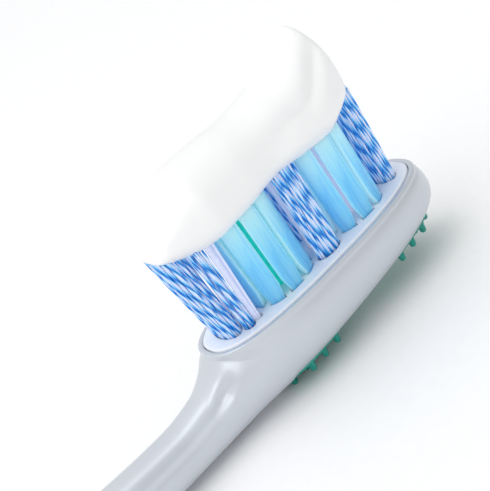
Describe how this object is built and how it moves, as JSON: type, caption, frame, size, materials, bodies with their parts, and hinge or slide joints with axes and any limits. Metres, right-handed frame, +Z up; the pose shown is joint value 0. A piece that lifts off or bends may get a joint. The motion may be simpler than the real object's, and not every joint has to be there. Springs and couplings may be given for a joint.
{
  "type": "toothbrush",
  "caption": "Toothbrush with a slim silver handle, blue striped tufts, soft polishing cups and a thick strip of white paste on its head, lying on its back.",
  "frame": {"origin": "centre of the grip's flat back, on the surface that the brush lies on", "axes": "+X along the handle to the tip of the head, +Z up the way the tufts stand, +Y to the left when looking along +X"},
  "size_m": [0.1899, 0.014, 0.0286],
  "materials": {
    "shell": "pearly silver, satin",
    "plate": "smooth",
    "cup": "translucent, smooth",
    "striped_filament": "two-tone nylon filament",
    "teal_filament": "nylon filament",
    "pale_filament": "nylon filament",
    "anchor": "bright",
    "cleaner": "satin",
    "paste": "smooth, moist"
  },
  "bodies": {
    "root": {"handle": "shell", "bristle_plate": "plate", "polishing_cup_rear": "cup", "polishing_cup_front": "cup", "end_tuft_rear": "striped_filament", "end_tuft_tip": "striped_filament", "corner_tuft_1": "striped_filament", "corner_tuft_2": "striped_filament", "side_tuft_1": "striped_filament", "side_tuft_2": "striped_filament", "core_tuft_rear": "teal_filament", "core_tuft_front": "pale_filament", "pale_tuft_1": "pale_filament", "pale_tuft_2": "pale_filament", "pale_tuft_3": "pale_filament", "pale_tuft_4": "pale_filament", "anchor_staples": "anchor", "tongue_cleaner": "cleaner", "toothpaste": "paste"}
  },
  "joints": []
}
